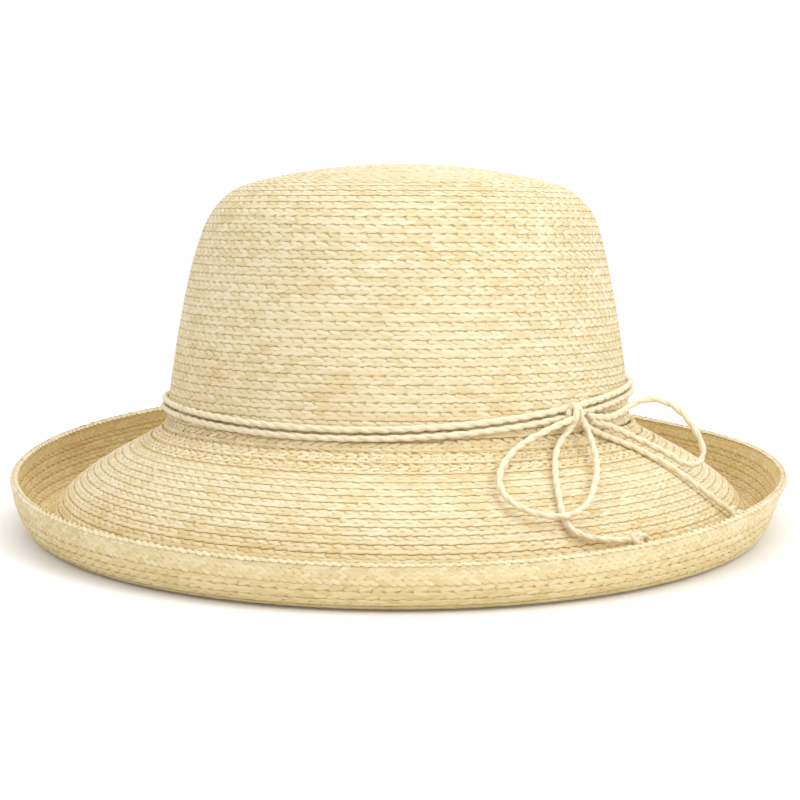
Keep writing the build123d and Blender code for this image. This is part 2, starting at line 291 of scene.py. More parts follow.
def edge_surface(run, angle):
    """A point on the plait folded over the rim, from inside over the top to outside."""
    top = RIM_RUN
    face = outward(brim_surface, top, angle)
    upward = (brim_surface(top, angle) - brim_surface(top - 0.5, angle)).normalized()
    middle = brim_surface(top, angle) - face * (WALL / 2 * MM)
    bend = math.pi * EDGE_BEND
    if run < EDGE_INSIDE:
        side, rise = EDGE_BEND, run - EDGE_INSIDE
    elif run < EDGE_INSIDE + bend:
        turn = (run - EDGE_INSIDE) / EDGE_BEND
        side, rise = EDGE_BEND * math.cos(turn), EDGE_BEND * math.sin(turn)
    else:
        side, rise = -EDGE_BEND, EDGE_INSIDE + bend - run
    return middle + face * (side * MM) + upward * (rise * MM)


# ---------------------------------------------------------------- settings a user would change
class PlaitSettings(bpy.types.PropertyGroup):
    round_pitch: FloatProperty(
        name="Round pitch", description="Distance from one sewn round of plait to the next",
        default=0.0031, unit="LENGTH", subtype="DISTANCE")
    strand_pitch: FloatProperty(
        name="Strand pitch", description="Distance along the plait from strand to strand",
        default=0.0048, unit="LENGTH", subtype="DISTANCE")
    strand_length: FloatProperty(
        name="Strand length", description="Visible length of one straw strand",
        default=0.0086, unit="LENGTH", subtype="DISTANCE")
    strand_width: FloatProperty(
        name="Strand width", description="Width of one straw strand",
        default=0.0026, unit="LENGTH", subtype="DISTANCE")
    strand_rise: FloatProperty(
        name="Strand rise", description="How far a strand stands above the wall",
        default=0.00019, unit="LENGTH", subtype="DISTANCE")
    slant: FloatProperty(
        name="Slant", description="Angle of the strands across the plait",
        default=math.radians(-10), unit="ROTATION", subtype="ANGLE")
    seed: IntProperty(name="Seed", description="Fixes the strands' unevenness", default=7)
    pale: StringProperty(
        name="Pale straw", description="Colour of the palest strands, sRGB hex", default="EADCBB")
    mid: StringProperty(
        name="Straw", description="Colour of most strands, sRGB hex", default="E0CEA5")
    gold: StringProperty(
        name="Golden straw", description="Colour of the darkest strands, sRGB hex",
        default="D8C18F")
    gap: StringProperty(
        name="Gap", description="Colour deep between the strands, sRGB hex", default="E2C78E")


class CordSettings(bpy.types.PropertyGroup):
    diameter: FloatProperty(
        name="Cord diameter", description="Diameter of the two-ply cord",
        default=0.0024, unit="LENGTH", subtype="DISTANCE")
    lay: FloatProperty(
        name="Lay", description="Length of one full twist of the cord",
        default=0.0115, unit="LENGTH", subtype="DISTANCE")
    wrap_span: FloatProperty(
        name="Wrap span", description="Distance between the two turns round the crown",
        default=0.0030, unit="LENGTH", subtype="DISTANCE")
    colour: StringProperty(
        name="Cord", description="Colour of the cord, sRGB hex", default="F0E5CB")
    shade: StringProperty(
        name="Cord shade", description="Colour of the cord's darker fibres, sRGB hex",
        default="DDCDA5")


class BandSettings(bpy.types.PropertyGroup):
    height: FloatProperty(
        name="Band height", description="Height of the sweatband",
        default=0.032, unit="LENGTH", subtype="DISTANCE")
    rib: FloatProperty(
        name="Rib pitch", description="Distance between the ribbon's ribs",
        default=0.0012, unit="LENGTH", subtype="DISTANCE")
    stitch: FloatProperty(
        name="Stitch pitch", description="Distance from stitch to stitch",
        default=0.0042, unit="LENGTH", subtype="DISTANCE")
    colour: StringProperty(
        name="Ribbon", description="Colour of the ribbon, sRGB hex", default="E6D8B8")
    thread: StringProperty(
        name="Thread", description="Colour of the sewing thread, sRGB hex", default="EADFBF")
    label: StringProperty(
        name="Label", description="Colour of the blank label, sRGB hex", default="F6F3EA")


class StageSettings(bpy.types.PropertyGroup):
    distance: FloatProperty(
        name="Camera distance", description="From the camera to the middle of the hat",
        default=0.87, unit="LENGTH", subtype="DISTANCE")
    elevation: FloatProperty(
        name="Camera elevation", description="Angle of the camera above the table",
        default=math.radians(9.0), unit="ROTATION", subtype="ANGLE")
    lens: FloatProperty(
        name="Lens", description="Focal length on a 36 mm sensor, in millimetres",
        default=101.4)


# ---------------------------------------------------------------- materials
def linear(hex_colour):
    """An sRGB hex colour as linear RGBA."""
    channels = [int(hex_colour[i:i + 2], 16) / 255 for i in (0, 2, 4)]
    curve = [c / 12.92 if c <= 0.04045 else ((c + 0.055) / 1.055) ** 2.4 for c in channels]
    return (*curve, 1.0)


def add(tree, kind, links=None, **settings):
    """Add a node, set its attributes and (as in_NAME or in_NUMBER) its inputs, and link it."""
    node = tree.nodes.new(kind)
    for key, value in settings.items():
        if key.startswith("in_"):
            socket = key[3:]
            socket = int(socket) if socket.isdigit() else socket.replace("_", " ")
            node.inputs[socket].default_value = value
        else:
            setattr(node, key, value)
    for key, source in (links or {}).items():
        tree.links.new(source, node.inputs[key])
    return node


def new_material(name, **values):
    """A material with values on its shader's own sockets."""
    material = bpy.data.materials.new(name)
    material.use_nodes = True
    tree = material.node_tree
    tree.nodes.clear()
    shader = add(tree, "ShaderNodeBsdfPrincipled", **values)
    add(tree, "ShaderNodeOutputMaterial", {"Surface": shader.outputs["BSDF"]})
    return material, tree, shader


def lay_grain(tree, shader, tint, stops, relief=None, strength=0.0, depth=0.0):
    """Colour a material by one pattern and raise it by another, to a depth in metres."""
    colours = add(tree, "ShaderNodeValToRGB", {"Fac": tint})
    ends = colours.color_ramp.elements
    for k in (0, -1):
        ends[k].position, ends[k].color = stops[k][0], linear(stops[k][1])
    for position, colour in stops[1:-1]:
        ends.new(position).color = linear(colour)
    tree.links.new(colours.outputs["Color"], shader.inputs["Base Color"])
    if relief:
        bump = add(tree, "ShaderNodeBump", {"Height": relief}, in_Strength=strength, in_Distance=depth)
        tree.links.new(bump.outputs["Normal"], shader.inputs["Normal"])
    return colours.outputs["Color"]


# Painted shade: the straw is darkened to a warmer tint by its place, standing in for the shade
# on the upturned edge and low down by the table: the weight of each direction, then the distance
# at which that starts and is full, in metres.
PAINTED_SHADE_OUTWARDS = ((1.0, 0.925, 0.0), 0.122, 0.138)
PAINTED_SHADE_DOWNWARDS = ((0.0, 0.0, 1.0), 0.021, 0.007)
PAINTED_SHADE_TINT = "F5EFDA"


def straw_strand_material(plait, name, painted_shade):
    """Split raffia palm leaf, dried and plaited: matt, fibrous, each strand its own tone, and darkened
    by place with painted shade.
    """
    material, tree, shader = new_material(name, in_Roughness=0.58, in_IOR=1.5,
                                          in_Specular_IOR_Level=0.35)
    tone = add(tree, "ShaderNodeAttribute", attribute_name="tone").outputs["Fac"]
    place = add(tree, "ShaderNodeTexCoord").outputs["Object"]
    leaf = add(tree, "ShaderNodeUVMap", uv_map="UVMap").outputs["UV"]
    patch = add(tree, "ShaderNodeTexNoise", {"Vector": place}, in_Scale=38.0, in_Detail=2.0)
    # The fibres run along the leaf, about 0.2 mm apart, and start elsewhere on each strand.
    stretch = add(tree, "ShaderNodeMapping", {"Vector": leaf}, in_Scale=(1.6, 9.0, 1.0))
    offset = add(tree, "ShaderNodeMath", {0: tone}, operation="MULTIPLY", in_1=57.0)
    shifted = add(tree, "ShaderNodeVectorMath", {0: stretch.outputs["Vector"], 1: offset.outputs[0]},
                  operation="ADD")
    fibre = add(tree, "ShaderNodeTexNoise", {"Vector": shifted.outputs["Vector"]},
                in_Scale=1.0, in_Detail=3.0, in_Roughness=0.6)
    mixed = add(tree, "ShaderNodeMath", {0: tone}, operation="MULTIPLY", in_1=0.45)
    for pattern, share in ((patch, 0.5), (fibre, 0.25)):
        mixed = add(tree, "ShaderNodeMath", {0: pattern.outputs["Fac"], 2: mixed.outputs[0]},
                    operation="MULTIPLY_ADD", in_1=share)
    colour = lay_grain(tree, shader, mixed.outputs[0],
                       [(0.28, plait.gold), (0.5, plait.mid), (0.85, plait.pale)],
                       fibre.outputs["Fac"], 0.35, 0.00012)
    # Painted shade: the colour is multiplied by a darker, warmer tint by place on the hat, standing in
    # for shade.
    directions, start, full = painted_shade
    weighted = add(tree, "ShaderNodeVectorMath", {0: place}, operation="MULTIPLY", in_1=directions)
    reach = add(tree, "ShaderNodeVectorMath", {0: weighted.outputs["Vector"]}, operation="LENGTH")
    share = add(tree, "ShaderNodeMapRange", {0: reach.outputs["Value"]}, in_1=start, in_2=full)
    deeper = add(tree, "ShaderNodeMix", {0: share.outputs["Result"], 6: colour},
                 data_type="RGBA", blend_type="MULTIPLY", in_7=linear(PAINTED_SHADE_TINT))
    tree.links.new(deeper.outputs[2], shader.inputs["Base Color"])
    return material


def straw_wall_material(name, dark, light):
    """The under layer of the same plait: matt, with a fine grain, seen only in the gaps."""
    material, tree, shader = new_material(name, in_Roughness=0.7, in_IOR=1.5)
    place = add(tree, "ShaderNodeTexCoord").outputs["Object"]
    grain = add(tree, "ShaderNodeTexNoise", {"Vector": place}, in_Scale=900.0, in_Detail=2.0)
    lay_grain(tree, shader, grain.outputs["Fac"], [(0.3, dark), (0.75, light)],
              grain.outputs["Fac"], 0.3, 0.0002)
    return material


def cord_material(cord):
    """Pale raffia spun into two plies: soft, matt, with fine fibres along each ply."""
    material, tree, shader = new_material("spun_raffia_cord", in_Roughness=0.7, in_IOR=1.5,
                                          in_Specular_IOR_Level=0.3)
    ply = add(tree, "ShaderNodeUVMap", uv_map="UVMap").outputs["UV"]
    stretch = add(tree, "ShaderNodeMapping", {"Vector": ply}, in_Scale=(0.35, 11.0, 1.0))
    fibre = add(tree, "ShaderNodeTexNoise", {"Vector": stretch.outputs["Vector"]},
                in_Scale=1.0, in_Detail=4.0, in_Roughness=0.65)
    lay_grain(tree, shader, fibre.outputs["Fac"], [(0.3, cord.shade), (0.6, cord.colour)],
              fibre.outputs["Fac"], 0.5, 0.00015)
    return material


def ribbon_material(band):
    """Cotton grosgrain: ribs across the ribbon, matt, with a soft nap."""
    material, tree, shader = new_material("cotton_grosgrain_ribbon", in_Roughness=0.85,
                                          in_Sheen_Weight=0.25)
    cloth = add(tree, "ShaderNodeUVMap", uv_map="UVMap").outputs["UV"]
    # The UV map runs in millimetres along the band, so the ribs have their true pitch.
    ribs = add(tree, "ShaderNodeTexWave", {"Vector": cloth}, wave_type="BANDS", bands_direction="X",
               in_Scale=0.314 / (band.rib / MM), in_Distortion=0.6, in_Detail=1.0)
    weave = add(tree, "ShaderNodeTexNoise", {"Vector": cloth}, in_Scale=2.5, in_Detail=3.0)
    lay_grain(tree, shader, weave.outputs["Fac"], [(0.3, "D9C9A4"), (0.7, band.colour)],
              ribs.outputs["Fac"], 0.6, 0.0003)
    return material


def thread_material(band):
    """Mercerised cotton thread: a slight gloss and a fine twist."""
    material, tree, shader = new_material("cotton_sewing_thread", in_Roughness=0.5)
    place = add(tree, "ShaderNodeTexCoord").outputs["Object"]
    twist = add(tree, "ShaderNodeTexNoise", {"Vector": place}, in_Scale=2500.0)
    lay_grain(tree, shader, twist.outputs["Fac"], [(0.3, "CDBB90"), (0.7, band.thread)])
    return material


def label_material(band):
    """Woven satin: smooth, a little glossy, with a fine thread pattern."""
    material, tree, shader = new_material("woven_satin_label", in_Roughness=0.42)
    cloth = add(tree, "ShaderNodeUVMap", uv_map="UVMap").outputs["UV"]
    weave = add(tree, "ShaderNodeTexNoise", {"Vector": cloth}, in_Scale=6.0, in_Detail=2.0)
    lay_grain(tree, shader, weave.outputs["Fac"], [(0.3, "E4DFD0"), (0.7, band.label)])
    return material


def table_material():
    """White acrylic, matt, giving off a little light, so the shadow on it stays faint."""
    return new_material("white_acrylic_table", in_Base_Color=(0.88, 0.88, 0.88, 1.0),
                        in_Emission_Color=(1.0, 1.0, 1.0, 1.0), in_Emission_Strength=0.05,
                        in_Roughness=0.9)[0]


# ---------------------------------------------------------------- mesh helpers
def mesh_object(name, vertices, faces, uvs=None, smooth=True):
    """A mesh object at the origin, with an optional UV for every vertex."""
    mesh = bpy.data.meshes.new(name)
    mesh.from_pydata(vertices, [], faces)
    if uvs:
        layer = mesh.uv_layers.new(name="UVMap")
        for loop in mesh.loops:
            layer.data[loop.index].uv = uvs[loop.vertex_index]
    if smooth and mesh.polygons:
        mesh.polygons.foreach_set("use_smooth", [True] * len(mesh.polygons))
    mesh.update()
    piece = bpy.data.objects.new(name, mesh)
    bpy.context.scene.collection.objects.link(piece)
    return piece


def place_piece(piece, nodes, material=None):
    """Give a finished piece its material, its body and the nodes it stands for."""
    if material:
        piece.data.materials.clear()
        piece.data.materials.append(material)
    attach(piece, BODY)
    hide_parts(*nodes)
    return piece


def evaluated_copy(source, name):
    """A plain mesh object with every modifier of the source applied; the source is removed."""
    depsgraph = bpy.context.evaluated_depsgraph_get()
    mesh = bpy.data.meshes.new_from_object(source.evaluated_get(depsgraph),
                                           preserve_all_data_layers=True, depsgraph=depsgraph)
    mesh.name = name
    source.modifiers.clear()
    bpy.data.objects.remove(source)
    piece = bpy.data.objects.new(name, mesh)
    bpy.context.scene.collection.objects.link(piece)
    return piece


# ---------------------------------------------------------------- strands by Geometry Nodes
def jittered(tree, links, seed, **values):
    """A random number for each piece, from a middle value less a jitter to one more."""
    edges = [add(tree, "ShaderNodeMath", links, operation=operation, **values).outputs[0]
             for operation in ("SUBTRACT", "ADD")]
    number = add(tree, "FunctionNodeRandomValue", {2: edges[0], 3: edges[1], 8: seed},
                 data_type="FLOAT")
    return number.outputs[1]


def strand_tree():
    """A tree that lays one small piece at each guide point, turned to the surface there."""
    name = "lay_pieces_on_guide"
    if name in bpy.data.node_groups:
        return bpy.data.node_groups[name]
    tree = bpy.data.node_groups.new(name, "GeometryNodeTree")
    numbers = ("Length", "Width", "Rise", "Slant", "Slant Jitter", "Size Jitter")
    for title, kind in (("Geometry", "Geometry"), ("Piece", "Object"), ("Material", "Material"),
                        *((title, "Float") for title in numbers), ("Seed", "Int")):
        tree.interface.new_socket(title, in_out="INPUT", socket_type="NodeSocket" + kind)
    tree.interface.new_socket("Geometry", in_out="OUTPUT", socket_type="NodeSocketGeometry")
    given = add(tree, "NodeGroupInput").outputs
    along, out = (add(tree, "GeometryNodeInputNamedAttribute", data_type="FLOAT_VECTOR", in_Name=title)
                  for title in ("along", "outward"))
    upright = add(tree, "FunctionNodeAlignRotationToVector", {"Vector": out.outputs[0]}, axis="Z")
    turned = add(tree, "FunctionNodeAlignRotationToVector",
                 {"Rotation": upright.outputs[0], "Vector": along.outputs[0]},
                 axis="X", pivot_axis="Z")
    seeds = [given["Seed"]] + [add(tree, "ShaderNodeMath", {0: given["Seed"]}, operation="ADD",
                                   in_1=step).outputs[0] for step in (1.0, 2.0)]
    slant = jittered(tree, {0: given["Slant"], 1: given["Slant Jitter"]}, seeds[0])
    spin = add(tree, "FunctionNodeAxisAngleToRotation", {"Angle": slant}, in_Axis=(0.0, 0.0, 1.0))
    rotation = add(tree, "FunctionNodeRotateRotation",
                   {"Rotation": turned.outputs[0], "Rotate By": spin.outputs[0]},
                   rotation_space="LOCAL")
    size = jittered(tree, {1: given["Size Jitter"]}, seeds[1], in_0=1.0)
    length, width = (add(tree, "ShaderNodeMath", {0: given[title], 1: size}, operation="MULTIPLY")
                     for title in ("Length", "Width"))
    scale = add(tree, "ShaderNodeCombineXYZ",
                {"X": length.outputs[0], "Y": width.outputs[0], "Z": given["Rise"]})
    piece = add(tree, "GeometryNodeObjectInfo", {"Object": given["Piece"]})
    laid = add(tree, "GeometryNodeInstanceOnPoints",
               {"Points": given["Geometry"], "Instance": piece.outputs["Geometry"],
                "Rotation": rotation.outputs[0], "Scale": scale.outputs[0]})
    tone = add(tree, "FunctionNodeRandomValue", {8: seeds[2]}, data_type="FLOAT")
    stored = add(tree, "GeometryNodeStoreNamedAttribute",
                 {"Geometry": laid.outputs[0], "Value": tone.outputs[1]},
                 data_type="FLOAT", domain="INSTANCE", in_Name="tone")
    real = add(tree, "GeometryNodeRealizeInstances", {"Geometry": stored.outputs[0]})
    done = add(tree, "GeometryNodeSetMaterial",
               {"Geometry": real.outputs[0], "Material": given["Material"]})
    add(tree, "NodeGroupOutput", {"Geometry": done.outputs[0]})
    return tree


def lay_pieces(name, guide, piece, material, **sizes):
    """Lay a small piece at every guide point, as one plain mesh."""
    points, along, out = guide
    mesh = bpy.data.meshes.new(name + "_guide")
    mesh.from_pydata(points, [], [])
    for title, vectors in (("along", along), ("outward", out)):
        attribute = mesh.attributes.new(title, "FLOAT_VECTOR", "POINT")
        attribute.data.foreach_set("vector", [c for v in vectors for c in v])
    holder = bpy.data.objects.new(name + "_guide", mesh)
    bpy.context.scene.collection.objects.link(holder)
    modifier = holder.modifiers.new("pieces", "NODES")
    tree = strand_tree()
    modifier.node_group = tree
    values = {"Piece": piece, "Material": material, **sizes}
    for item in tree.interface.items_tree:
        if item.in_out == "INPUT" and item.name in values:
            modifier[item.identifier] = values[item.name]
    return evaluated_copy(holder, name)


def leaf_template():
    """A flattened pod one unit long, wide and high: a straw strand where it shows."""
    stations = ((-0.27, 0.86, 0.85), (0.0, 1.0, 1.0), (0.27, 0.86, 0.85))
    section = ((-0.5, -0.25), (-0.28, 0.82), (0.28, 0.82), (0.5, -0.25))
    vertices = [(-0.5, 0.0, -0.2)]
    uvs = [(0.0, 0.5)]
    for x, width, height in stations:
        for y, z in section:
            vertices.append((x, y * width, z * height if z > 0 else z))
            uvs.append((x + 0.5, y + 0.5))
    vertices.append((0.5, 0.0, -0.2))
    uvs.append((1.0, 0.5))
    faces = []
    for k in range(4):
        faces.append((0, 1 + k, 1 + (k + 1) % 4))
        faces.append((13, 9 + (k + 1) % 4, 9 + k))
        for ring in (1, 5):
            faces.append((ring + k, ring + 4 + k, ring + 4 + (k + 1) % 4, ring + (k + 1) % 4))
    return mesh_object("strand_template", vertices, faces, uvs)


def remove_object(piece):
    mesh = piece.data
    bpy.data.objects.remove(piece)
    bpy.data.meshes.remove(mesh)


# ---------------------------------------------------------------- rounds of plait
def even_rounds(length, pitch):
    count = max(1, round(length / (pitch / MM)))
    return [length * i / count for i in range(count + 1)]


def brim_rounds(pitch):
    """Three wider rounds under the headline, then even ones out to the rim."""
    wide = [WIDE_PITCH * i for i in range(WIDE_ROUNDS)]
    start = WIDE_PITCH * WIDE_ROUNDS
    return wide + [start + r for r in even_rounds(BRIM.length - start, pitch)]


def run_at(rounds, turns):
    """Distance along the outline after a number of turns of the spiral."""
    i = min(max(int(turns), 0), len(rounds) - 2)
    return rounds[i] + (rounds[i + 1] - rounds[i]) * (turns - i)


def round_width(rounds, turns):
    """How wide the plait lies at a number of turns of the spiral."""
    return run_at(rounds, turns + 1) - run_at(rounds, turns)


# Phase across a round, and how far the wall stands out there: it steps out quickly, falls back
# slowly, and goes in again at the next round.
ROUND_SECTION = ((0.0, 0.0), (0.07, 0.80), (0.36, 1.0), (0.88, 0.72))
AROUND = 240                  # faces round the crown's walls
AROUND_COIL = 60
AROUND_BRIM = 320
POLE_CLEAR = 0.5              # mm from the middle of the tip within which no direction is taken
WIDE_FROM = 4.6               # a round of at least this many mm is a wide one
WIDEST = 99.0                 # mm, wider than any round
WIDE_SWELL = 2.2              # a wide round stands this much further out
ROUND_RISE = 0.00017          # metres


def section_height(phase):
    """How far out the wall stands at a phase across a round, as a share of the rise."""
    stations = (*ROUND_SECTION, (1.0, 0.0))
    for (p0, h0), (p1, h1) in zip(stations, stations[1:]):
        if phase <= p1:
            return h0 + (h1 - h0) * (phase - p0) / (p1 - p0)
    return 0.0


def wall_mesh(name, surface, rounds, low, high, rise, thickness=WALL, around=AROUND, calm=0.0):
    """A closed wall whose two faces are stepped by the spiral rounds of plait."""
    index = {}
    outer, inner, faces = [], [], []
    pole = (surface(low, 0.0) - surface(low, math.pi)).length < 1e-6

    def corner(i, turns, height):
        run = min(max(run_at(rounds, turns), low), high)
        key = ("pole", 0) if pole and run < low + 0.01 else (i % around, round(run, 3))
        if key not in index:
            angle = 2 * math.pi * i / around
            inside = low + 0.01 < run < high - 0.01
            swell = WIDE_SWELL if round_width(rounds, turns) > WIDE_FROM else 1.0
            stand = rise * swell * (height if inside else 0.5) * (0.2 if run > high - calm else 1.0)
            point = surface(run, angle)
            face = outward(surface, max(run, POLE_CLEAR) if pole else run, angle)
            index[key] = len(outer)
            outer.append(point + face * stand)
            inner.append(point - face * (thickness * MM + stand * 0.8))
        return index[key]

    lines = []
    for turn in range(-1, len(rounds)):
        for phase, height in ROUND_SECTION:
            lines.append((turn + phase, height))
    for (start, h0), (stop, h1) in zip(lines, lines[1:]):
        for i in range(around):
            share, later = i / around, (i + 1) / around
            quad = [corner(i, start + share, h0), corner(i, stop + share, h1),
                    corner(i + 1, stop + later, h1), corner(i + 1, start + later, h0)]
            loop = [v for k, v in enumerate(quad) if v != quad[k - 1]]
            if len(loop) > 2 and len(set(loop)) == len(loop):
                faces.append(tuple(loop))
    count = len(outer)
    edges = {}
    for face in faces:
        for k, v in enumerate(face):
            edges[(face[k - 1], v)] = True
    closing = [(b, a, a + count, b + count) for a, b in edges if (b, a) not in edges]
    back = [tuple(v + count for v in reversed(face)) for face in faces]
    return mesh_object(name, outer + inner, faces + back + closing)


def spiral_guide(surface, rounds, low, high, spacing, lane, side, seed):
    """Points along the spiral of plait, on one face of the wall."""
    phase, least, most = lane
    even_lift = ROUND_RISE * section_height(phase) * (1.0 if side > 0 else 0.8)
    jitter = random.Random(seed)
    points, along, out = [], [], []
    turns = -1.0
    while turns < len(rounds):
        width = round_width(rounds, turns)
        run = run_at(rounds, turns) + phase * width
        angle = 2 * math.pi * turns
        here = surface(max(run, POLE_CLEAR), angle)
        reach = max(math.hypot(here.x, here.y), 0.002)
        if low <= run <= high and least <= width < most:
            face = outward(surface, max(run, POLE_CLEAR), angle)
            ahead = (surface(max(run, POLE_CLEAR), angle + 0.02)
                     - surface(max(run, POLE_CLEAR), angle)).normalized()
            lift = even_lift * (WIDE_SWELL if width > WIDE_FROM else 1.0)
            sink = lift if side > 0 else -(WALL * MM + lift)
            points.append(here + face * sink)
            along.append(ahead)
            out.append(face * side)
        turns += spacing * jitter.uniform(0.9, 1.1) / (2 * math.pi * reach)
    return points, along, out


# Lanes of strands across a round of plait: phase, then length, width, rise and slant as
# shares of the plait's own, for narrow rounds and for wide ones.
NARROW_LANES = ((0.29, 0.76, 0.70, 1.0, 1.0), (0.70, 0.90, 0.74, 0.9, -0.7))
WIDE_LANES = ((0.22, 0.72, 0.72, 2.0, 1.4), (0.50, 0.80, 0.74, 1.7, -1.6),
              (0.76, 0.80, 0.66, 1.5, 0.8))

# Painted shade: small dark pieces where the wide rounds show shadow in the gaps between strands: phase,
# then length and width in metres.
HOLE_SHADE_LANES = ((0.02, 0.0030, 0.0006), (0.37, 0.0009, 0.0005), (0.64, 0.0009, 0.0005))


def plait_face(name, zone, side, plait, leaf, material):
    """The strands that show on one face of a zone, in lanes that slant against each other."""
    parts = []
    lanes = [(0.0, WIDE_FROM, lane) for lane in NARROW_LANES]
    lanes += [(WIDE_FROM, WIDEST, lane) for lane in WIDE_LANES]
    for k, (least, most, (phase, length, width, rise, slant)) in enumerate(lanes):
        guide = spiral_guide(*zone, plait.strand_pitch, (phase, least, most), side, 3 + k)
        if not guide[0]:
            continue
        parts.append(lay_pieces(
            f"{name}_lane_{k}", guide, leaf, material, Length=plait.strand_length * length,
            Width=plait.strand_width * width, Rise=plait.strand_rise * rise,
            Slant=plait.slant * slant * side, Seed=plait.seed + 3 * k,
            **{"Slant Jitter": 0.06, "Size Jitter": 0.10}))
    return join_pieces(name, parts)


def join_pieces(name, parts):
    """Join meshes that share a material into one piece."""
    if len(parts) > 1:
        with bpy.context.temp_override(active_object=parts[0], selected_editable_objects=parts):
            bpy.ops.object.join()
    parts[0].name = name
    parts[0].data.name = name
    return parts[0]


# ---------------------------------------------------------------- cords
def spline_points(name, route):
    """Close points along the smooth line of a route, in metres."""
    curve = bpy.data.curves.new(name, "CURVE")
    curve.dimensions = "3D"
    spline = curve.splines.new("NURBS")
    spline.points.add(len(route) - 1)
    for point, place in zip(spline.points, route):
        point.co = (*[c * MM for c in place], 1.0)
    spline.order_u = 3
    spline.use_endpoint_u = True
    spline.resolution_u = 12
    holder = bpy.data.objects.new(name, curve)
    bpy.context.scene.collection.objects.link(holder)
    depsgraph = bpy.context.evaluated_depsgraph_get()
    mesh = bpy.data.meshes.new_from_object(holder.evaluated_get(depsgraph))
    line = [v.co.copy() for v in mesh.vertices]
    bpy.data.objects.remove(holder)
    bpy.data.curves.remove(curve)
    bpy.data.meshes.remove(mesh)
    return line


def evenly(line, step):
    """The same line with its points an even distance apart."""
    runs = [0.0]
    for before, after in zip(line, line[1:]):
        runs.append(runs[-1] + (after - before).length)
    count = max(2, round(runs[-1] / step))
    points = []
    for i in range(count + 1):
        run = runs[-1] * i / count
        k = min(max(bisect.bisect_right(runs, run) - 1, 0), len(line) - 2)
        share = (run - runs[k]) / max(runs[k + 1] - runs[k], 1e-12)
        points.append(line[k].lerp(line[k + 1], share))
    return points, runs[-1]


def carried_frames(points):
    """A tangent and a side direction at each point, with no sudden twist."""
    frames = []
    side = None
    last = len(points) - 1
    for i in range(len(points)):
        ahead = (points[min(i + 1, last)] - points[max(i - 1, 0)]).normalized()
        if side is None:
            guess = Vector((0, 0, 1)) if abs(ahead.z) < 0.9 else Vector((1, 0, 0))
            side = ahead.cross(guess).normalized()
        side = (side - ahead * side.dot(ahead)).normalized()
        frames.append((ahead, side))
    return frames


def tube_along(points, radius, sides, v_offset=0.0, taper=None):
    """Vertices, faces and UVs of a closed-ended tube along points."""
    vertices, faces, uvs = [], [], []
    frames = carried_frames(points)
    run = 0.0
    for i, (point, (ahead, side)) in enumerate(zip(points, frames)):
        if i:
            run += (point - points[i - 1]).length
        other = ahead.cross(side)
        size = radius * (taper(i / (len(points) - 1)) if taper else 1.0)
        for k in range(sides):
            turn = 2 * math.pi * k / sides
            vertices.append(point + (side * math.cos(turn) + other * math.sin(turn)) * size)
            uvs.append((run / MM, k / sides + v_offset))
    for i in range(len(points) - 1):
        for k in range(sides):
            a, b = i * sides + k, i * sides + (k + 1) % sides
            faces.append((a, b, b + sides, a + sides))
    faces.append(tuple(range(sides - 1, -1, -1)))
    end = (len(points) - 1) * sides
    faces.append(tuple(end + k for k in range(sides)))
    return vertices, faces, uvs


def twisted_cord(name, line, diameter, lay, step=0.0007, sides=8, phase=0.0):
    """Two plies twisted round a line."""
    points, length = evenly(line, step)
    frames = carried_frames(points)
    vertices, faces, uvs = [], [], []
    ply = diameter * 0.36
    swing = diameter * 0.5 - ply
    for strand in range(2):
        ply_line = []
        for i, (point, (ahead, side)) in enumerate(zip(points, frames)):
            run = length * i / (len(points) - 1)
            uneven = 0.25 * math.sin(run / 0.013 + strand) + 0.2 * math.sin(run / 0.0047)
            turn = 2 * math.pi * run / lay + math.pi * strand + phase + uneven
            other = ahead.cross(side)
            ply_line.append(point + (side * math.cos(turn) + other * math.sin(turn)) * swing)
        base = len(vertices)
        part = tube_along(ply_line, ply * 1.05, sides, v_offset=strand * 3.7)
        vertices += part[0]
        faces += [tuple(v + base for v in face) for face in part[1]]
        uvs += part[2]
    return mesh_object(name, vertices, faces, uvs)


def wrap_height(angle):
    """Height of the upper turn of cord above the headline, in mm."""
    return WRAP_FRONT + WRAP_LEAN * math.cos(angle) + WRAP_SIDES * math.cos(angle) ** 2


def wrap_line(lower_by, diameter):
    """One turn of cord round the crown, from the knot back to the knot."""
    line = []
    for i in range(361):
        angle = KNOT_ANGLE - 2 * math.pi * i / 360
        height = wrap_height(angle) - lower_by
        run = CROWN.length - height / math.cos(math.atan2(HEAD_HALF_WIDTH - SIDE_TOP[0], SIDE_TOP[1]))
        run = min(run, CROWN.length - 0.2)
        point = crown_surface(run, angle)
        face = outward(crown_surface, min(run, CROWN.length - 0.4), angle)
        drop = Vector((0, 0, min(0.0, height) * MM))
        line.append(point + drop + face * (WRAP_CLEARANCE * MM + diameter / 2))
    return line


def knot_frame():
    """The middle of the bow knot, and the directions out from, along and up the crown."""
    height = wrap_height(KNOT_ANGLE) - KNOT_DROP
    run = CROWN.length - height
    point = crown_surface(run, KNOT_ANGLE)
    face = outward(crown_surface, run, KNOT_ANGLE)
    along = (crown_surface(run, KNOT_ANGLE + 0.02) - point).normalized()
    return point + face * (KNOT_STAND_OFF * MM), face, along, along.cross(face) * -1.0


def ring_line(centre, first, second, half_first, half_second, start, drift):
    """One turn of a knot, in the plane of two directions, drifting across it by some mm."""
    axis = first.cross(second)
    line = []
    for i in range(41):
        turn = start + 2 * math.pi * i / 40
        line.append(centre + first * (half_first * math.cos(turn) * MM)
                    + second * (half_second * math.sin(turn) * MM) + axis * (drift * i / 40 * MM))
    return line


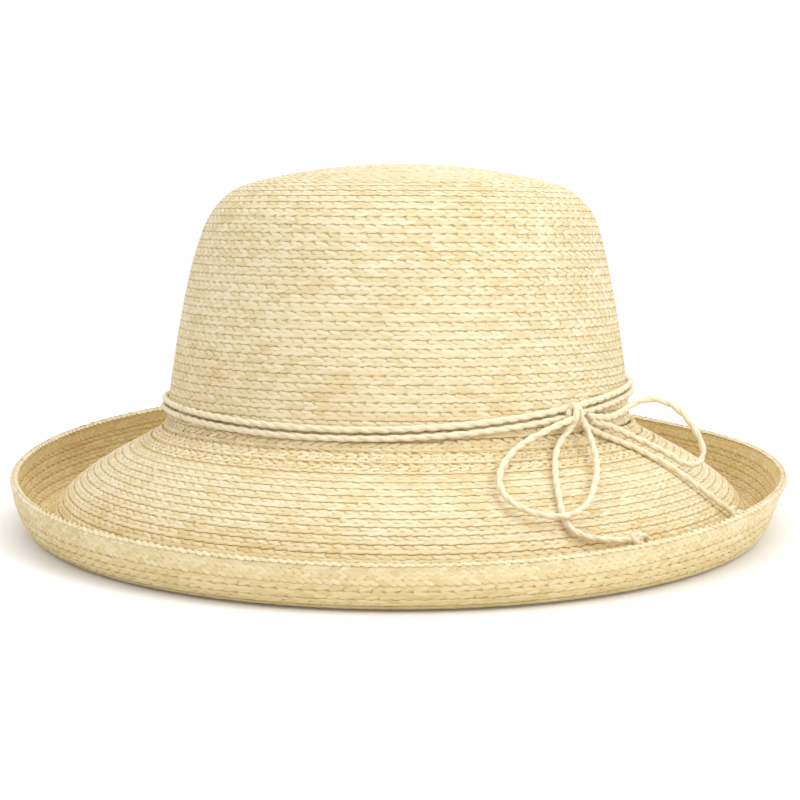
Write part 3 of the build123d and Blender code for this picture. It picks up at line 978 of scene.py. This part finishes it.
def bow_knot(cord):
    """The bow's knot: two turns side by side over a heart that lies across them."""
    centre, out, along, up = knot_frame()
    thick = cord.diameter * KNOT_THICKER
    turns = []
    for k, (shift, tip, half_out, half_up) in enumerate(KNOT_TURNS):
        tilted = (up + along * tip).normalized()
        line = ring_line(centre + along * (shift * MM), out, tilted, half_out, half_up, 0.4 + k, 0.6)
        turns.append(twisted_cord(f"knot_turn_{k}", line, thick, cord.lay, step=0.0005))
    inside = ring_line(centre - out * (0.4 * MM), along, up, *KNOT_HEART, 0.0, 0.0)
    turns.append(twisted_cord("knot_heart", inside, thick, cord.lay, step=0.0005))
    return join_pieces("knot_turns", turns)


def thread_tack(k, angle, cord):
    """A thread that goes out of the straw, over both turns of cord and back in."""
    run = CROWN.length - (wrap_height(angle) - cord.wrap_span / MM / 2)
    face = outward(crown_surface, run, angle)
    here = crown_surface(run, angle)
    upward = (crown_surface(run - 1, angle) - here).normalized()
    line = []
    for i in range(17):
        turn = math.pi * i / 16
        out = 0.2 + TACK_REACH * math.sin(turn) ** 0.6
        line.append(here + upward * (TACK_REACH * math.cos(turn) * MM) + face * (out * MM))
    return mesh_object(f"tack_{k}", *tube_along(line, TACK_RADIUS, 6))


def overhand_knot(name, centre, size, axis, cord, stub):
    """A small tight overhand knot with a short frayed end."""
    ahead = Vector(axis).normalized()
    side = ahead.cross(Vector((0, 0, 1))).normalized()
    up = side.cross(ahead)
    line = []
    for i in range(73):
        t = 2 * math.pi * i / 72 * 0.94 + 0.5
        a = (math.sin(t) + 2 * math.sin(2 * t)) / 3
        b = (math.cos(t) - 2 * math.cos(2 * t)) / 3
        c = -math.sin(3 * t) / 2.2
        line.append(Vector(centre) + (ahead * a * 0.62 + side * b * 0.5 + up * c * 0.55) * size)
    knot = twisted_cord(name + "_turns", line, cord.diameter * 0.9, cord.lay * 0.6, step=0.0005, sides=7)
    pieces = [knot]
    spray = random.Random(11)
    for k in range(FIBRES):
        lean = Vector([spray.uniform(-0.5, 0.5) for _ in range(3)])
        start = Vector(centre) + Vector(stub).normalized() * size * 0.15
        direction = (Vector(stub).normalized() + lean * 0.6).normalized()
        bend = Vector([spray.uniform(-0.3, 0.3) for _ in range(3)])
        reach = Vector(stub).length * spray.uniform(0.7, 1.1)
        fibre = []
        for i in range(7):
            t = i / 6
            fibre.append(start + (direction + bend * t) * reach * t)
        vertices, faces, uvs = tube_along(fibre, cord.diameter * 0.13, 5, taper=lambda t: 1.0 - 0.6 * t)
        pieces.append(mesh_object(f"{name}_fibre_{k}", vertices, faces, uvs))
    return join_pieces(name, pieces)


# ---------------------------------------------------------------- brim, edge and sweatband
def painted_gap_shade(rounds, plait, leaf, material):
    """Painted shade: dark pieces on the wide rounds, for the shadow where the eye looks in between the
    strands.
    """
    rows = []
    for k, (phase, length, width) in enumerate(HOLE_SHADE_LANES):
        guide = spiral_guide(brim_surface, rounds, 0.6, GUTTER_RUN, plait.strand_pitch * 0.80,
                             (phase, WIDE_FROM, WIDEST), 1, 40 + k)
        rows.append(lay_pieces(f"hole_lane_{k}", guide, leaf, material, Length=length, Width=width,
                               Rise=0.00046, Slant=plait.slant, Seed=plait.seed + 50 + k,
                               **{"Slant Jitter": 0.25, "Size Jitter": 0.35}))
    return join_pieces("brim_slope_holes", rows)


def edge_row(k, plait, leaf, inner, outer):
    """One row of strands round the folded edge; rows slant against each other."""
    run = EDGE_LENGTH * (k + 0.5) / EDGE_ROWS
    guide = ring_guide(edge_surface, run, plait.strand_pitch * 0.66, 0.0, 20 + k)
    return lay_pieces(f"edge_row_{k}", guide, leaf, inner if run < EDGE_INSIDE else outer,
                      Length=plait.strand_length * 0.6, Width=plait.strand_width * 0.76,
                      Rise=plait.strand_rise * 0.75, Slant=EDGE_SLANT if k % 2 else -EDGE_SLANT,
                      Seed=plait.seed + k, **{"Slant Jitter": 0.08, "Size Jitter": 0.1})


def ring_guide(surface, run, spacing, lift, seed):
    """Points round the hat at one distance along a surface."""
    jitter = random.Random(seed)
    points, along, out = [], [], []
    angle = jitter.uniform(0, 0.02)
    while angle < 2 * math.pi:
        here = surface(run, angle)
        face = outward(surface, run, angle)
        points.append(here + face * lift)
        along.append((surface(run, angle + 0.02) - here).normalized())
        out.append(face)
        angle += spacing * jitter.uniform(0.92, 1.08) / math.hypot(here.x, here.y)
    return points, along, out


def band_surface(inset):
    """The crown's side set in by a distance, measured up from the headline."""
    def surface(run, angle):
        place = CROWN.length - run
        point = crown_surface(place, angle)
        return point - outward(crown_surface, place, angle) * (inset * MM)
    return surface


def band_strip(name, inset, thickness, low, high, start, end, pitch):
    """A thin closed strip of ribbon round the inside of the crown."""
    surface = band_surface(inset)
    count = max(2, int((end - start) * HEAD_HALF_WIDTH / pitch))
    closed = end - start > 2 * math.pi - 1e-6
    levels = 8
    vertices, uvs, faces = [], [], []
    columns = count if closed else count + 1
    for layer in (0, 1):
        for i in range(columns):
            angle = start + (end - start) * i / count
            for j in range(levels + 1):
                run = low + (high - low) * j / levels
                point = surface(run, angle)
                face = outward(crown_surface, CROWN.length - run, angle)
                vertices.append(point - face * (thickness * layer * MM))
                uvs.append((angle * HEAD_HALF_WIDTH, run))
    half = columns * (levels + 1)

    def at(i, j, layer):
        return (i % columns) * (levels + 1) + j + layer * half

    for i in range(count):
        for j in range(levels):
            faces.append((at(i, j, 0), at(i + 1, j, 0), at(i + 1, j + 1, 0), at(i, j + 1, 0)))
            faces.append((at(i, j, 1), at(i, j + 1, 1), at(i + 1, j + 1, 1), at(i + 1, j, 1)))
        faces.append((at(i, 0, 0), at(i, 0, 1), at(i + 1, 0, 1), at(i + 1, 0, 0)))
        faces.append((at(i, levels, 0), at(i + 1, levels, 0), at(i + 1, levels, 1), at(i, levels, 1)))
    if not closed:
        for j in range(levels):
            faces.append((at(0, j, 0), at(0, j + 1, 0), at(0, j + 1, 1), at(0, j, 1)))
            faces.append((at(count, j, 0), at(count, j, 1), at(count, j + 1, 1), at(count, j + 1, 0)))
    return mesh_object(name, vertices, faces, uvs)


# ---------------------------------------------------------------- stage and operators
def studio_world():
    """Even white light, brighter to the right, and a white wall behind."""
    world = bpy.data.worlds.new("studio_white")
    world.use_nodes = True
    tree = world.node_tree
    around = add(tree, "ShaderNodeTexCoord")
    parts = add(tree, "ShaderNodeSeparateXYZ", {"Vector": around.outputs["Generated"]})
    behind = add(tree, "ShaderNodeMath", {0: parts.outputs["Y"]}, operation="MAXIMUM", in_1=0.0)
    wall = add(tree, "ShaderNodeMath", {0: behind.outputs[0]}, operation="POWER", in_1=WALL_SHARPNESS)
    room = add(tree, "ShaderNodeMath", {0: parts.outputs["X"]}, operation="MULTIPLY_ADD",
               in_1=ROOM_LEAN, in_2=ROOM_LIGHT)
    strength = add(tree, "ShaderNodeMath", {0: wall.outputs[0], 2: room.outputs[0]},
                   operation="MULTIPLY_ADD", in_1=WALL_LIGHT)
    sky = tree.nodes["Background"]
    sky.inputs["Color"].default_value = (1.0, 1.0, 1.0, 1.0)
    tree.links.new(strength.outputs[0], sky.inputs["Strength"])
    return world


def settings(context):
    return context.scene.straw_hat


class HatSettings(bpy.types.PropertyGroup):
    plait: PointerProperty(type=PlaitSettings)
    cord: PointerProperty(type=CordSettings)
    band: PointerProperty(type=BandSettings)
    stage: PointerProperty(type=StageSettings)


class HAT_OT_stage(bpy.types.Operator):
    """Set up the table, the soft studio light and the camera"""
    bl_idname = "hat.stage"
    bl_label = "Stage"

    def execute(self, context):
        stage = settings(context).stage
        scene = context.scene
        scene.view_settings.view_transform = "Standard"
        corners = [(x * TABLE_HALF, y * TABLE_HALF, 0) for x, y in ((-1, -1), (1, -1), (1, 1), (-1, 1))]
        table = mesh_object("table_top", corners, [(0, 1, 2, 3)], smooth=False)
        table.data.materials.append(table_material())
        scene.world = studio_world()
        for name, place, size, power in LAMPS:
            light = bpy.data.lights.new(name, "AREA")
            light.size = size
            light.energy = power
            lamp = bpy.data.objects.new(name, light)
            lamp.location = place
            lamp.rotation_euler = (LAMP_AIM - Vector(place)).to_track_quat("-Z", "Y").to_euler()
            scene.collection.objects.link(lamp)
        camera = bpy.data.cameras.new("camera")
        camera.lens = stage.lens
        camera.sensor_width = 36.0
        seen = bpy.data.objects.new("camera", camera)
        away = Vector((0, -math.cos(stage.elevation), math.sin(stage.elevation)))
        seen.location = CAMERA_AIM + away * stage.distance
        seen.rotation_euler = (math.pi / 2 - stage.elevation + CAMERA_RAISE, 0, 0)
        scene.collection.objects.link(seen)
        scene.camera = seen
        return {"FINISHED"}


class HAT_OT_bow(bpy.types.Operator):
    """Lay the bow's loops and tails, with their end knots"""
    bl_idname = "hat.bow"
    bl_label = "Bow loops and tails"

    def execute(self, context):
        cord = settings(context).cord
        material = cord_material(cord)
        ends = {}
        for tail, (name, centre, axis, stub) in TAIL_ENDS.items():
            ends[tail] = overhand_knot(name, Vector(centre) * MM, TAIL_KNOT_SIZE, axis, cord, stub)
        for tail, end in ends.items():
            place_piece(end, [tail + "_knot"], material)
        for name, route, length, far_end in (
                ("bow_loop_front", LOOP_FRONT, 0.1365, "object"),
                ("bow_loop_side", LOOP_SIDE, 0.1300, "object"),
                ("tail_front", TAIL_FRONT, 0.0785, "knot"),
                ("tail_side", TAIL_SIDE, 0.0715, "knot")):
            line = spline_points(name + "_route", route)
            piece = twisted_cord(name + "_cord", line, cord.diameter, cord.lay)
            place_piece(piece, [name], material)
        return {"FINISHED"}


class HAT_OT_wraps(bpy.types.Operator):
    """Wind the cord twice round the crown, tie its knot and tack it down"""
    bl_idname = "hat.wraps"
    bl_label = "Cord round the crown"

    def execute(self, context):
        cord = settings(context).cord
        material = bpy.data.materials["spun_raffia_cord"]
        for name, lower_by, phase in (("trim_wrap_upper", 0.0, 0.0),
                                      ("trim_wrap_lower", cord.wrap_span / MM, 1.1)):
            line = wrap_line(lower_by, cord.diameter)
            piece = twisted_cord(name + "_cord", line, cord.diameter, cord.lay, phase=phase)
            place_piece(piece, [name], material)
        place_piece(bow_knot(cord), ["bow_knot"], material)
        tacks = [thread_tack(k, math.radians(degrees), cord) for k, degrees in enumerate(TACK_ANGLES)]
        thread = thread_material(settings(context).band)
        place_piece(join_pieces("thread_tacks", tacks), ["trim_tacks"], thread)
        return {"FINISHED"}


class HAT_OT_crown(bpy.types.Operator):
    """Sew the crown: its first coil, its tip and its side"""
    bl_idname = "hat.crown"
    bl_label = "Crown"

    def execute(self, context):
        plait = settings(context).plait
        # This strand material carries painted shade on the brim's upturned edge.
        strand = straw_strand_material(plait, "dried_raffia_strand", PAINTED_SHADE_OUTWARDS)
        ground = straw_wall_material("dried_raffia_ground", plait.gap, plait.gold)
        leaf = leaf_template()
        rounds = even_rounds(CROWN.length, plait.round_pitch)
        for node, low, high, around in (("crown_coil", 0.0, COIL_RADIUS, AROUND_COIL),
                                        ("crown_tip", COIL_RADIUS, TIP_END, AROUND),
                                        ("crown_side", TIP_END, CROWN.length, AROUND)):
            zone = (crown_surface, rounds, low, high)
            wall = wall_mesh(node + "_wall", *zone, ROUND_RISE, around=around)
            place_piece(wall, [node], ground)
            for label, side in (("outside", 1), ("inside", -1)):
                face = plait_face(f"{node}_{label}", zone, side, plait, leaf, strand)
                place_piece(face, [node])
        remove_object(leaf)
        return {"FINISHED"}


class HAT_OT_brim(bpy.types.Operator):
    """Sew the brim: its slope, its upturned edge and the plait folded over the rim"""
    bl_idname = "hat.brim"
    bl_label = "Brim"

    def execute(self, context):
        plait = settings(context).plait
        strand = bpy.data.materials["dried_raffia_strand"]
        ground = bpy.data.materials["dried_raffia_ground"]
        # This strand material carries painted shade: darker and warmer low down, near the table.
        under_strand = straw_strand_material(plait, "raffia_strand_painted_low_shade", PAINTED_SHADE_DOWNWARDS)
        pale_ground = straw_wall_material("pressed_raffia_edge", plait.gold, plait.mid)
        # Painted shade: a dark straw colour for the pieces that stand for shadow between the strands.
        shadowed = straw_wall_material("dried_raffia_shadowed", "AC9054", "BEA369")
        leaf = leaf_template()
        rounds = brim_rounds(plait.round_pitch)
        for node, low, high, inside, outside in (
                ("brim_slope", 0.0, GUTTER_RUN, 0.0, 0.0),
                ("brim_roll", GUTTER_RUN, RIM_RUN, EDGE_INSIDE, EDGE_OUTSIDE)):
            wall = wall_mesh(node + "_wall", brim_surface, rounds, low, high, ROUND_RISE,
                             around=AROUND_BRIM, calm=min(inside, outside))
            place_piece(wall, [node], ground)
            for label, side, covered, straw in (("upper", 1, inside, strand),
                                                ("under", -1, outside, under_strand)):
                zone = (brim_surface, rounds, low, high - covered)
                face = plait_face(f"{node}_{label}", zone, side, plait, leaf, straw)
                place_piece(face, [node])
        gap_shade_pieces = painted_gap_shade(rounds, plait, leaf, shadowed)
        place_piece(gap_shade_pieces, ["brim_slope"])
        steps = [EDGE_LENGTH * i / EDGE_STEPS for i in range(EDGE_STEPS + 1)]
        fold = wall_mesh("edge_plait_wall", edge_surface, steps, 0.0, EDGE_LENGTH, 0.0,
                         thickness=EDGE_WALL, around=AROUND_BRIM)
        place_piece(fold, ["edge_plait"], pale_ground)
        rows = [edge_row(k, plait, leaf, strand, under_strand) for k in range(EDGE_ROWS)]
        place_piece(join_pieces("edge_plait_strands", rows), ["edge_plait"])
        remove_object(leaf)
        return {"FINISHED"}


class HAT_OT_sweatband(bpy.types.Operator):
    """Sew in the sweatband, its join, its stitches and the blank label"""
    bl_idname = "hat.sweatband"
    bl_label = "Sweatband"

    def execute(self, context):
        band = settings(context).band
        ribbon = ribbon_material(band)
        high = band.height / MM
        strip = band_strip("ribbon_band", BAND_INSET, 0.7, 0.9, high, 0.0, 2 * math.pi, 2.2)
        place_piece(strip, ["sweatband"], ribbon)
        lap = JOIN_HALF_WIDTH / HEAD_HALF_WIDTH
        join = band_strip("ribbon_lap", BAND_INSET + 0.8, 0.6, 1.5, high - 0.7,
                          math.pi / 2 - lap, math.pi / 2 + lap, 1.2)
        place_piece(join, ["sweatband_join"], ribbon)
        reach = TAG_HALF_WIDTH / HEAD_HALF_WIDTH
        tag = band_strip("blank_tag", BAND_INSET + 0.9, 0.3, high - 18.0, high - 4.0,
                         TAG_ANGLE - reach, TAG_ANGLE + reach, 1.2)
        place_piece(tag, ["size_label"], label_material(band))
        guide = ring_guide(band_surface(BAND_INSET + SEAM_INSET), SEAM_HEIGHT, band.stitch, 0.0001, 2)
        dash = leaf_template()
        stitches = lay_pieces("band_seam", guide, dash, bpy.data.materials["cotton_sewing_thread"],
                              Length=band.stitch * 0.72, Width=0.0006, Rise=0.0004, Slant=0.0, Seed=4,
                              **{"Slant Jitter": 0.03, "Size Jitter": 0.04})
        remove_object(dash)
        place_piece(stitches, ["sweatband_stitches"])
        return {"FINISHED"}


class HAT_PT_panel(bpy.types.Panel):
    """Straw hat tools"""
    bl_idname = "HAT_PT_panel"
    bl_label = "Straw hat"
    bl_space_type = "VIEW_3D"
    bl_region_type = "UI"
    bl_category = "Straw hat"

    def draw(self, context):
        hat = settings(context)
        for title, group, names in (
                ("Stage", hat.stage, ("distance", "elevation", "lens")),
                ("Plait", hat.plait, ("round_pitch", "strand_pitch", "strand_length", "strand_width",
                                      "strand_rise", "slant", "seed", "pale", "mid", "gold", "gap")),
                ("Cord", hat.cord, ("diameter", "lay", "wrap_span", "colour", "shade")),
                ("Sweatband", hat.band, ("height", "rib", "stitch", "colour", "thread", "label"))):
            box = self.layout.box()
            box.label(text=title)
            for name in names:
                box.prop(group, name)
        for operator in OPERATORS:
            self.layout.operator(operator.bl_idname)


OPERATORS = (HAT_OT_stage, HAT_OT_bow, HAT_OT_wraps, HAT_OT_crown, HAT_OT_brim, HAT_OT_sweatband)
CLASSES = (PlaitSettings, CordSettings, BandSettings, StageSettings, HatSettings,
           *OPERATORS, HAT_PT_panel)


def register():
    for kind in CLASSES:
        bpy.utils.register_class(kind)
    bpy.types.Scene.straw_hat = PointerProperty(type=HatSettings)


def unregister():
    del bpy.types.Scene.straw_hat
    for kind in reversed(CLASSES):
        bpy.utils.unregister_class(kind)


def main():
    register()
    for operator in (bpy.ops.hat.stage, bpy.ops.hat.bow, bpy.ops.hat.wraps, bpy.ops.hat.crown,
                     bpy.ops.hat.brim, bpy.ops.hat.sweatband):
        operator()


if __name__ == "__main__":
    main()
